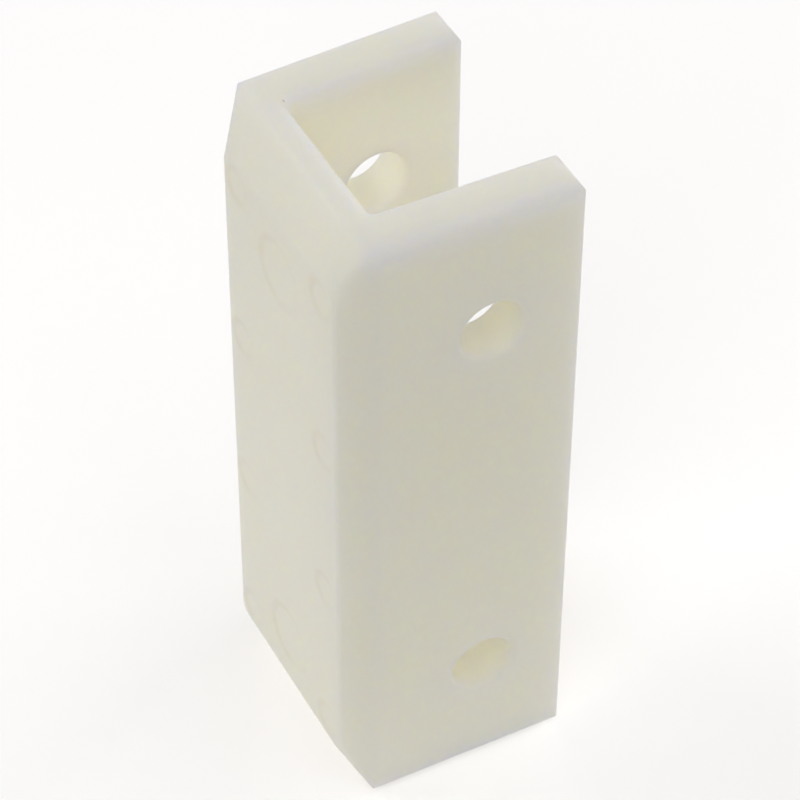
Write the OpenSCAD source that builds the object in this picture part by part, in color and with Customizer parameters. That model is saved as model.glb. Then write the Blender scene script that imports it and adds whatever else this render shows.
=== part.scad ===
// Guide shoe: a one-piece moulded channel that slides along the blade of a guide rail.
// Millimetres. +X runs from the back face to the open mouth, +Y across the channel,
// +Z up along the rail. The origin is the centre of the bottom of the outer box.

/* [Overall] */
// Height along the rail
height = 75; // [70:0.5:90]
// Depth from the back face to the leg tips
depth = 23.8; // [22:0.1:28]
// Width across the legs where the back corners end
back_width = 26.8; // [25.6:0.1:28]
// Width across the legs at the tips
mouth_width = 27.8; // [27:0.1:29.4]

/* [Rail channel] */
// Channel width at the web
channel_width = 16.2; // [14:0.1:17]
// Channel width at the mouth
channel_mouth = 17.6; // [16.4:0.1:18.8]
// Thickness of the web behind the channel
web_thickness = 5.1; // [4.6:0.1:7]
// Fillet where the web meets a leg
corner_fillet = 0.5; // [0.4:0.1:2]

/* [Back face] */
// Depth of the slopes that run round the back face
slope_depth = 2.8; // [2:0.1:3.3]
// Width of each side slope
side_slope = 2.5; // [1.8:0.1:3.2]
// Height of the slope at each end
end_slope = 5.7; // [4:0.1:8]

/* [Cross holes] */
// Diameter of the holes through the legs
hole_diameter = 6.4; // [5:0.1:7]
// Distance of the holes from the back face
hole_setback = 14.6; // [13:0.1:16.5]
// Distance between the upper and the lower hole
hole_pitch = 46.4; // [40:0.1:52]
// Rounding of the hole rims
hole_rim = 0.5; // [0.3:0.05:0.9]

/* [Moulding marks] */
// Depth of the round marks in the back face
mark_depth = 0.1; // [0.05:0.05:0.3]
// Width of the sloping wall round each mark
mark_wall = 0.5; // [0.3:0.05:0.6]
// Diameter of the two large marks, at the middle of the wall
large_mark = 7.1; // [5:0.1:8]
// Distance between the large marks
large_pitch = 50.4; // [46:0.1:54]
// Diameter of the small marks, at the middle of the wall
small_mark = 3.7; // [2.5:0.1:4.2]
// Distance between neighbours in a column of small marks
small_pitch = 19.5; // [17:0.1:20]
// Distance between the two columns of small marks
column_gap = 16.6; // [14.5:0.1:17]

/* [Edges] */
// Rounding of the outer edges of the legs, at the top and the bottom
edge_radius = 1.8; // [0.6:0.1:2.2]
// Rounding of the upright edges at the tips
tip_radius = 1; // [0.4:0.05:1.3]
// Rounding of the top and bottom edges at the tips
nose_radius = 2; // [0.6:0.1:2.4]
// Rounding where the rail enters the channel
lead_radius = 1; // [0.4:0.05:1.1]
// Rounding of the edges of the back face
soft_radius = 0.8; // [0.4:0.05:1.2]
// Rounding where an end slope meets the top or the bottom
ridge_radius = 1.6; // [0.6:0.1:1.7]
// Rounding where an end slope meets a side slope
hip_radius = 2.4; // [0.8:0.1:3]

/* [Hidden] */
$fn = 96;
plateau_width = back_width - 2 * side_slope;
back_x = -depth / 2;
web_x = back_x + web_thickness;
tip_x = depth / 2;
slope_x = back_x + slope_depth;
mid_z = height / 2;
// how far the legs lean outwards on each side, from the side slope to the tip
lean = (mouth_width - back_width) / 2;
flare = (channel_mouth - channel_width) / 2;
outer_angle = atan(lean / (tip_x - slope_x));
inner_angle = atan(flare / (tip_x - web_x));
// centre of the fillet between the web and a leg
fillet_c = corner_centre([web_x, 0], [web_x, channel_width / 2], [tip_x, channel_mouth / 2], corner_fillet);
fillet_r = corner_arc([web_x, 0], [web_x, channel_width / 2], [tip_x, channel_mouth / 2], corner_fillet);
// face positions and leans at the holes
hole_x = back_x + hole_setback;
hole_out = back_width / 2 + lean * (hole_x - slope_x) / (tip_x - slope_x);
hole_in = channel_width / 2 + flare * (hole_x - web_x) / (tip_x - web_x);
far = 60;
// the upper corner where a side slope meets an end slope, the line down from it and the faces beside that line
hip_top = [slope_x, back_width / 2, height];
hip_v = [-slope_depth, -side_slope, -end_slope];
hip_tilt = acos(hip_v[2] / norm(hip_v));
hip_turn = atan2(hip_v[1], hip_v[0]);
hip_side = flat(cross(hip_v, [-side_slope, slope_depth, 0]));
hip_end = flat(cross([-end_slope, 0, slope_depth], hip_v));

function unit(v) = v / norm(v);
// a direction as seen along the hip line
function flat(v) = [
    v * [cos(hip_tilt) * cos(hip_turn), cos(hip_tilt) * sin(hip_turn), -sin(hip_tilt)],
    v * [-sin(hip_turn), cos(hip_turn), 0]];
function half_angle(a, v, b) = acos(unit(a - v) * unit(b - v)) / 2;
// centre and radius of the arc that rounds corner v; it sits deeper than a tangent arc by the share k
function corner_centre(a, v, b, r, k = 0.08) =
    v + unit(unit(a - v) + unit(b - v))
        * (r / sin(half_angle(a, v, b)) + k * r / cos(half_angle(a, v, b)));
function corner_arc(a, v, b, r, k = 0.08) =
    norm(corner_centre(a, v, b, r, k) - v - unit(a - v) * r / tan(half_angle(a, v, b)));

// the sliver between a corner v, with neighbours a and b, and the arc that rounds it
module corner(a, v, b, r, k = 0.08) {
    t = r / tan(half_angle(a, v, b)) + k * r;
    c = corner_centre(a, v, b, r, k);
    p = v + unit(a - v) * t;
    q = v + unit(b - v) * t;
    turn = cross(p - c, v - c) > 0;
    difference() {
        polygon([c, c + ((turn ? p : q) - c) * 1.25, c + (v - c) * 1.25, c + ((turn ? q : p) - c) * 1.25]);
        translate(c) circle(r = corner_arc(a, v, b, r, k));
    }
}

// plan of the channel section, rounded
module plan() {
    bo = back_width / 2;
    mo = mouth_width / 2;
    bi = channel_width / 2;
    mi = channel_mouth / 2;
    po = plateau_width / 2;
    difference() {
        union() {
            polygon([[back_x, po], [back_x, -po], [slope_x, -bo], [tip_x, -mo], [tip_x, -mi],
                     [web_x, -bi], [web_x, bi], [tip_x, mi], [tip_x, mo], [slope_x, bo]]);
            for (s = [-1, 1])
                corner([web_x, 0], [web_x, s * bi], [tip_x, s * mi], corner_fillet);
        }
        for (s = [-1, 1]) {
            corner([tip_x, s * mi], [tip_x, s * mo], [slope_x, s * bo], tip_radius);
            corner([tip_x, s * mo], [tip_x, s * mi], [web_x, s * bi], tip_radius);
            corner([tip_x, s * mo], [slope_x, s * bo], [back_x, s * po], soft_radius);
            corner([slope_x, s * bo], [back_x, s * po], [back_x, 0], soft_radius);
        }
    }
}

// side view, with the slopes at both ends of the back face
module side() {
    p = [[back_x, end_slope], [slope_x, 0], [tip_x, 0], [tip_x, height], [slope_x, height],
         [back_x, height - end_slope]];
    difference() {
        polygon(p);
        corner(p[5], p[0], p[1], soft_radius);
        corner(p[0], p[1], p[2], ridge_radius);
        corner(p[1], p[2], p[3], nose_radius);
        corner(p[2], p[3], p[4], nose_radius);
        corner(p[3], p[4], p[5], ridge_radius);
        corner(p[4], p[5], p[0], soft_radius);
    }
}

// rounds the long top edge of a leg's outer face
module outer_edge() {
    translate([slope_x, back_width / 2, height]) rotate([0, 0, outer_angle]) rotate([90, 0, 90])
        translate([0, 0, -far / 2]) linear_extrude(far)
            corner([-5, 0], [0, 0], [0, -5], edge_radius);
}

// rounds the edge between a side slope and the top end slope
module hip_edge() {
    translate(hip_top) rotate([0, hip_tilt, hip_turn]) translate([0, 0, -4])
        linear_extrude(norm(hip_v) + 8)
            corner(hip_side, [0, 0], hip_end, hip_radius);
}

// rounds the top edges of the channel, where the rail enters: one leg, the fillet, half the web
module lead_in() {
    translate([web_x, channel_width / 2, height]) rotate([0, 0, inner_angle]) rotate([90, 0, 90])
        translate([0, 0, corner_fillet]) linear_extrude(far)
            corner([5, 0], [0, 0], [0, -5], lead_radius);
    translate([fillet_c[0], fillet_c[1], height]) rotate_extrude()
        corner([fillet_r + 5, 0], [fillet_r, 0], [fillet_r, -5], lead_radius);
    translate([web_x, channel_width / 2 - corner_fillet, height]) rotate([90, 0, 0])
        linear_extrude(channel_width / 2 - corner_fillet + 0.01)
            corner([-5, 0], [0, 0], [0, -5], lead_radius);
}

// rounds a hole rim on the outer face of a leg, or on its inner face
module rim(out) {
    r = hole_diameter / 2;
    translate([hole_x, out ? hole_out : hole_in, 0]) rotate([0, 0, out ? outer_angle : inner_angle])
        rotate([-90, 0, 0]) rotate_extrude()
            corner([r + 5, 0], [r, 0], [r, out ? -5 : 5], hole_rim, 0.5);
}

// one cross hole through both legs, with rounded rims
module cross_hole() {
    translate([hole_x, 0, 0]) rotate([90, 0, 0])
        cylinder(d = hole_diameter, h = mouth_width + 4, center = true);
    for (m = [0, 1]) mirror([0, m, 0]) {
        rim(true);
        rim(false);
    }
}

// a shallow round dish with a sloping wall
module dish(d) {
    rotate([0, 90, 0]) rotate_extrude()
        polygon([[0, -mark_depth], [(d + 3 * mark_wall) / 2, -mark_depth],
                 [(d - mark_wall) / 2, mark_depth], [0, mark_depth]]);
}

// round marks left in the back face
module marks() {
    for (s = [-1, 1])
        translate([back_x, 0, mid_z + s * large_pitch / 2]) dish(large_mark);
    for (s = [-1, 1], k = [-1.5, -0.5, 0.5, 1.5])
        translate([back_x, s * column_gap / 2, mid_z + k * small_pitch]) dish(small_mark);
}

module guide_shoe() {
    color([0.94, 0.92, 0.85])
        difference() {
            intersection() {
                linear_extrude(height) plan();
                rotate([90, 0, 0]) translate([0, 0, -far / 2]) linear_extrude(far) side();
            }
            for (e = [0, 1]) translate([0, 0, e * height]) mirror([0, 0, e])
                for (m = [0, 1]) mirror([0, m, 0]) {
                    outer_edge();
                    hip_edge();
                    lead_in();
                }
            for (s = [-1, 1]) translate([0, 0, mid_z + s * hole_pitch / 2]) cross_hole();
            marks();
        }
}

guide_shoe();
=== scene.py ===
import math

import bpy
from mathutils import Matrix, Vector

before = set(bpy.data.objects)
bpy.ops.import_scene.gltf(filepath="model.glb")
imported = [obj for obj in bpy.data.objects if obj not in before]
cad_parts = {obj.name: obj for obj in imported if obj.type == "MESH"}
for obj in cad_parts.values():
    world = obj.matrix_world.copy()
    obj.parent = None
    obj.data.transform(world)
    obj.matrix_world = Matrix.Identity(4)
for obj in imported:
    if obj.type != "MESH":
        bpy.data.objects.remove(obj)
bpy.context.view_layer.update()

MM = 0.001
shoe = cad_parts["guide_shoe"]
SPECK = (-6.85 * MM, 8.36 * MM, 0)
scene = bpy.context.scene


# ---------------------------------------------------------------- node helpers
class Nodes:
    """Short calls for building one material's nodes."""

    def __init__(self, name):
        self.mat = bpy.data.materials.new(name)
        self.mat.use_nodes = True
        self.tree = self.mat.node_tree
        self.tree.nodes.clear()

    def add(self, kind, **settings):
        node = self.tree.nodes.new(kind)
        for key, value in settings.items():
            setattr(node, key, value)
        return node

    def put(self, source, socket):
        if isinstance(source, bpy.types.NodeSocket):
            self.tree.links.new(source, socket)
        elif source is not None:
            socket.default_value = source

    def math(self, op, a, b=None, c=None, clamp=False):
        node = self.add("ShaderNodeMath", operation=op, use_clamp=clamp)
        for value, socket in zip((a, b, c), node.inputs):
            self.put(value, socket)
        return node.outputs[0]

    def vmath(self, op, a, b=None):
        node = self.add("ShaderNodeVectorMath", operation=op)
        self.put(a, node.inputs[0])
        self.put(b, node.inputs[1])
        return node.outputs["Value"] if op in ("LENGTH", "DISTANCE", "DOT_PRODUCT") else node.outputs["Vector"]

    def remap(self, value, low, high, to_low=0.0, to_high=1.0, smooth=True):
        node = self.add("ShaderNodeMapRange", interpolation_type="SMOOTHSTEP" if smooth else "LINEAR")
        for v, socket in zip((value, low, high, to_low, to_high), node.inputs):
            self.put(v, socket)
        return node.outputs["Result"]

    def noise(self, vector, scale, detail=2.0, rough=0.5, distortion=0.0):
        node = self.add("ShaderNodeTexNoise")
        self.put(vector, node.inputs["Vector"])
        for name, v in (("Scale", scale), ("Detail", detail), ("Roughness", rough), ("Distortion", distortion)):
            node.inputs[name].default_value = v
        return node.outputs["Fac"]

    def mix(self, fac, a, b):
        node = self.add("ShaderNodeMix", data_type="RGBA")
        self.put(fac, node.inputs[0])
        self.put(a, node.inputs[6])
        self.put(b, node.inputs[7])
        return node.outputs[2]


def ivory_plastic():
    n = Nodes("ivory_plastic")
    at = n.add("ShaderNodeTexCoord").outputs["Object"]
    apart = n.add("ShaderNodeSeparateXYZ")
    n.put(at, apart.inputs[0])
    x, y, z = (n.math("DIVIDE", apart.outputs[i], MM) for i in range(3))

    # distances, in millimetres, from the nearer end, from the outer face of a leg and from the tips
    end = n.math("MINIMUM", z, n.math("SUBTRACT", 75.0, z))
    lean = n.math("MULTIPLY_ADD", x, 0.5 / 21, 13.4 + 0.5 * 9.1 / 21)
    out = n.math("SUBTRACT", lean, n.math("ABSOLUTE", y))
    tip = n.math("SUBTRACT", 11.9, x)

    # the outer edges, rubbed a little duller, unevenly, and painted paler: partly rub wear, partly a painted highlight
    edge_wear_and_highlight = None
    for a, b, reach in ((end, out, 1.8), (end, tip, 2.0), (out, tip, 1.0)):
        part = n.remap(n.math("MAXIMUM", a, b), 0.25 * reach, reach, 1.0, 0.0)
        edge_wear_and_highlight = part if edge_wear_and_highlight is None else n.math("MAXIMUM", edge_wear_and_highlight, part)
    uneven = n.remap(n.noise(at, 420.0, 3.0, 0.6), 0.3, 0.65, 0.35, 1.0)
    edge_wear_and_highlight = n.math("MULTIPLY", edge_wear_and_highlight, uneven)
    # painted highlight: a paler band down the outer faces of the legs from each end, and down the inner ones, for light
    # falling over the rounded edges
    painted_highlight_band = n.remap(n.math("MAXIMUM", n.math("DIVIDE", end, 3.4), n.math("DIVIDE", out, 1.8)), 0.15, 1.0, 1.0, 0.0)
    inner = n.math("MULTIPLY_ADD", x, 0.7 / 18.7, 8.1 + 0.7 * 6.8 / 18.7)
    inside = n.math("ABSOLUTE", n.math("SUBTRACT", n.math("ABSOLUTE", y), inner))
    painted_highlight_inner = n.remap(n.math("MAXIMUM", n.math("DIVIDE", end, 3.0), n.math("DIVIDE", inside, 1.0)), 0.15, 1.0, 1.0, 0.0)
    painted_highlight_inner = n.math("MULTIPLY", painted_highlight_inner, n.math("GREATER_THAN", x, -6.8))
    painted_highlight_band = n.math("MULTIPLY", n.math("MAXIMUM", painted_highlight_band, painted_highlight_inner), n.remap(uneven, 0.35, 1.0, 0.8, 1.0))

    # colour: ivory, with slow cloudy drifts of the melt and fine mottling
    cloud = n.noise(at, 55.0, 3.0, 0.55, 0.4)
    mottle = n.noise(at, 900.0, 2.0, 0.6)
    base = n.mix(n.remap(cloud, 0.3, 0.7), (0.954, 0.916, 0.813, 1), (0.961, 0.926, 0.833, 1))
    base = n.mix(n.remap(mottle, 0.35, 0.75, 0.0, 0.35), base, (0.965, 0.936, 0.850, 1))
    # paler edges: partly rub wear, partly a painted highlight on the rounded edges
    base = n.mix(n.math("MULTIPLY", edge_wear_and_highlight, 0.3), base, (0.970, 0.962, 0.930, 1))
    # mix in the painted highlight band near the ends of the legs
    base = n.mix(painted_highlight_band, base, (0.985, 0.967, 0.900, 1))

    # painted light in the walls of the cross holes: brighter and yellower, for light shining through the plastic into
    # the bores
    level = n.math("SUBTRACT", n.math("ABSOLUTE", n.math("SUBTRACT", z, 37.5)), 23.2)
    axial = n.math("SUBTRACT", x, 2.7)
    bore = n.math("SQRT", n.math("MULTIPLY_ADD", axial, axial, n.math("MULTIPLY", level, level)))
    base = n.mix(n.remap(bore, 3.25, 3.7, 0.75, 0.0), base, (0.988, 0.954, 0.815, 1))

    # painted shade in the sloping walls of the round marks, stronger on one side
    up = n.math("ABSOLUTE", n.math("SUBTRACT", z, 37.5))
    side = n.math("SUBTRACT", n.math("ABSOLUTE", y), 8.3)
    row = n.math("SUBTRACT", n.math("ABSOLUTE", n.math("SUBTRACT", up, 19.5)), 9.75)
    painted_mark_shade = None
    for across, along, turned, radius in ((y, n.math("SUBTRACT", up, 25.2), y, 3.55),
                                          (side, row, n.math("MULTIPLY", side, n.math("SIGN", y)), 1.85)):
        off = n.math("SQRT", n.math("MULTIPLY_ADD", across, across, n.math("MULTIPLY", along, along)))
        ring = n.remap(n.math("ABSOLUTE", n.math("SUBTRACT", off, radius)), 0.1, 0.7, 1.0, 0.0)
        ring = n.math("MULTIPLY", ring, n.remap(turned, -radius, radius, 0.35, 1.0))
        painted_mark_shade = ring if painted_mark_shade is None else n.math("MAXIMUM", painted_mark_shade, ring)
    painted_mark_shade = n.math("MULTIPLY", painted_mark_shade, n.remap(x, -11.75, -11.6, 1.0, 0.0))
    painted_mark_shade = n.math("MULTIPLY", painted_mark_shade, n.remap(uneven, 0.35, 1.0, 0.6, 1.0))
    # darken the base with the painted shade of the marks
    base = n.mix(n.math("MULTIPLY", painted_mark_shade, 0.13), base, (0.60, 0.53, 0.40, 1))

    # a few tiny dark specks in the plastic, one of them on the top beside the far leg
    dots = n.add("ShaderNodeTexVoronoi", feature="F1")
    n.put(at, dots.inputs["Vector"])
    dots.inputs["Scale"].default_value = 220.0
    pick = n.add("ShaderNodeSeparateXYZ")
    n.put(dots.outputs["Color"], pick.inputs[0])
    speck = n.math("MULTIPLY", n.remap(dots.outputs["Distance"], 0.015, 0.035, 1.0, 0.0),
                   n.math("GREATER_THAN", pick.outputs[0], 0.85))
    one = n.remap(n.vmath("DISTANCE", n.vmath("MULTIPLY", at, (1, 1, 0)), SPECK), 0.06 * MM, 0.18 * MM, 1.0, 0.0)
    speck = n.math("MAXIMUM", speck, n.math("MULTIPLY", one, n.math("GREATER_THAN", z, 72.0)))
    base = n.mix(n.math("MULTIPLY", speck, 0.35), base, (0.30, 0.24, 0.16, 1))

    # roughness: satin skin, duller on the edges and in faint streaks along the rail
    streak = n.add("ShaderNodeMapping")
    n.put(at, streak.inputs["Vector"])
    streak.inputs["Scale"].default_value = (1.0, 1.0, 0.04)
    rub = n.noise(streak.outputs[0], 900.0, 3.0, 0.6)
    rough = n.math("ADD", n.remap(n.noise(at, 140.0, 3.0, 0.6), 0.3, 0.7, 0.40, 0.47),
                   n.remap(n.noise(at, 2600.0, 2.0, 0.6), 0.3, 0.7, -0.03, 0.03))
    rough = n.math("ADD", rough, n.remap(rub, 0.45, 0.7, 0.0, 0.05))
    rough = n.math("MULTIPLY_ADD", edge_wear_and_highlight, 0.06, rough)

    # the moulded skin: a fine grain over faint long waves, and a sink line on each leg over the web
    grain = n.noise(at, 4200.0, 2.0, 0.55)
    wave = n.noise(at, 130.0, 2.0, 0.5)
    sink = n.remap(n.math("ABSOLUTE", n.math("ADD", x, 5.8)), 0.0, 0.7, 1.0, 0.0)
    sink = n.math("MULTIPLY", sink, n.remap(n.math("ABSOLUTE", out), 0.3, 0.6, 1.0, 0.0))
    height = n.math("ADD", n.math("MULTIPLY", grain, 0.006), n.math("MULTIPLY", wave, 0.05))
    height = n.math("MULTIPLY_ADD", sink, -0.03, height)
    height = n.math("MULTIPLY_ADD", rub, 0.004, height)
    soft = n.add("ShaderNodeBevel", samples=6)
    soft.inputs["Radius"].default_value = 1.8 * MM
    bump = n.add("ShaderNodeBump")
    turn = n.add("ShaderNodeMix", data_type="VECTOR")
    n.put(n.remap(x, -11.75, -11.2), turn.inputs[0])
    n.put(n.add("ShaderNodeNewGeometry").outputs["Normal"], turn.inputs[4])
    n.put(soft.outputs[0], turn.inputs[5])
    n.put(n.vmath("NORMALIZE", turn.outputs[1]), bump.inputs["Normal"])
    bump.inputs["Strength"].default_value = 0.35
    bump.inputs["Distance"].default_value = MM
    n.put(height, bump.inputs["Height"])

    shader = n.add("ShaderNodeBsdfPrincipled", subsurface_method="RANDOM_WALK")
    n.put(base, shader.inputs["Base Color"])
    n.put(rough, shader.inputs["Roughness"])
    n.put(bump.outputs["Normal"], shader.inputs["Normal"])
    shader.inputs["IOR"].default_value = 1.5
    shader.inputs["Specular IOR Level"].default_value = 0.35
    shader.inputs["Subsurface Weight"].default_value = 1.0
    shader.inputs["Subsurface Radius"].default_value = (1.0, 0.9, 0.55)
    shader.inputs["Subsurface Scale"].default_value = 6.0 * MM
    out_node = n.add("ShaderNodeOutputMaterial")
    n.put(shader.outputs[0], out_node.inputs["Surface"])
    return n.mat


shoe.data.materials.clear()
shoe.data.materials.append(ivory_plastic())
weld = shoe.modifiers.new("weld", "WELD")
weld.merge_threshold = 1e-6
even = shoe.modifiers.new("even_normals", "WEIGHTED_NORMAL")
even.mode = "FACE_AREA"
even.weight = 50
even.keep_sharp = False

# ---------------------------------------------------------------- floor
half = 3.0
mesh = bpy.data.meshes.new("floor")
mesh.from_pydata([(-half, -half, 0), (half, -half, 0), (half, half, 0), (-half, half, 0)], [], [(0, 1, 2, 3)])
floor = bpy.data.objects.new("floor", mesh)
scene.collection.objects.link(floor)
paint = Nodes("floor_paint")
shader = paint.add("ShaderNodeBsdfPrincipled")
shader.inputs["Base Color"].default_value = (0.96, 0.96, 0.955, 1)
shader.inputs["Roughness"].default_value = 0.9
shader.inputs["Specular IOR Level"].default_value = 0.1
shader.inputs["Emission Color"].default_value = (1, 1, 1, 1)
# white to the eye like the backdrop, and for the part only a soft glow from the paper round it
seen = paint.add("ShaderNodeLightPath").outputs["Is Camera Ray"]
away = paint.vmath("LENGTH", paint.add("ShaderNodeNewGeometry").outputs["Position"])
plain = paint.math("MULTIPLY", seen, paint.remap(away, 0.3, 1.2, 0.3, 1.0))
paint.put(paint.math("MAXIMUM", plain, paint.remap(away, 0.04, 0.11, 0.135, 0.0)), shader.inputs["Emission Strength"])
paint.put(shader.outputs[0], paint.add("ShaderNodeOutputMaterial").inputs["Surface"])
mesh.materials.append(paint.mat)

# ---------------------------------------------------------------- light
world = bpy.data.worlds.new("studio")
scene.world = world
world.use_nodes = True
# pale behind the floor's far edge, and no light of its own
sky = world.node_tree.nodes["Background"]
sky.inputs["Color"].default_value = (1.0, 1.0, 1.0, 1)
ray = world.node_tree.nodes.new("ShaderNodeLightPath")
world.node_tree.links.new(ray.outputs["Is Camera Ray"], sky.inputs["Strength"])
MIDDLE = Vector((0, 0, 0.0375))


def area(name, place, aim, size, watts, colour=(1, 1, 1)):
    light = bpy.data.lights.new(name, "AREA")
    light.shape = "SQUARE"
    light.size = size
    light.energy = watts
    light.color = colour
    o = bpy.data.objects.new(name, light)
    o.location = place
    o.rotation_mode = "QUATERNION"
    o.rotation_quaternion = (Vector(aim) - Vector(place)).to_track_quat("-Z", "Y")
    o.visible_camera = False
    scene.collection.objects.link(o)
    return o


# name, direction it comes from (degrees round from +X, degrees above the floor), watts
for name, round_z, above, watts in (
        ("front_left", 225, 45, 2.17),
        ("front", 255, 50, 0.5),
        ("front_right_high", 300, 70, 2.55),
        ("right_high", 0, 70, 0.5),
        ("right_low", 0, 15, 3.0),
        ("back_right_low", 45, 15, 1.95),
        ("back_low", 90, 15, 1.1),
        ("back_left_low", 135, 15, 2.25),
        ("back_left", 135, 45, 1.35)):
    t, u = math.radians(round_z), math.radians(above)
    way = Vector((math.cos(t) * math.cos(u), math.sin(t) * math.cos(u), math.sin(u)))
    area(name, MIDDLE + way, MIDDLE, 0.6, watts, (1.0, 0.98, 0.98))

# ---------------------------------------------------------------- camera
AZ, EL, ROLL = -28.288, 46.141, 0.268
DIST, TX, TY = 334.137, -0.511, -2.188
FOCAL = 3478.455

a, e, r = (math.radians(v) for v in (AZ, EL, ROLL))
back = Vector((math.sin(a) * math.cos(e), -math.cos(a) * math.cos(e), math.sin(e)))
right = Vector((math.cos(a), math.sin(a), 0))
up = back.cross(right)
cam_right = right * math.cos(r) + up * math.sin(r)
cam_up = up * math.cos(r) - right * math.sin(r)
target = Vector((0, 0, 37.5)) - cam_right * TX - cam_up * TY
place = (target + back * DIST) * MM
data = bpy.data.cameras.new("camera")
data.sensor_fit = "HORIZONTAL"
data.sensor_width = 36.0
data.lens = FOCAL * 36.0 / 800.0
data.clip_start, data.clip_end = 0.01, 20.0
camera = bpy.data.objects.new("camera", data)
camera.matrix_world = Matrix((
    (cam_right.x, cam_up.x, back.x, place.x),
    (cam_right.y, cam_up.y, back.y, place.y),
    (cam_right.z, cam_up.z, back.z, place.z),
    (0, 0, 0, 1)))
scene.collection.objects.link(camera)
scene.camera = camera
scene.view_settings.view_transform = "Standard"
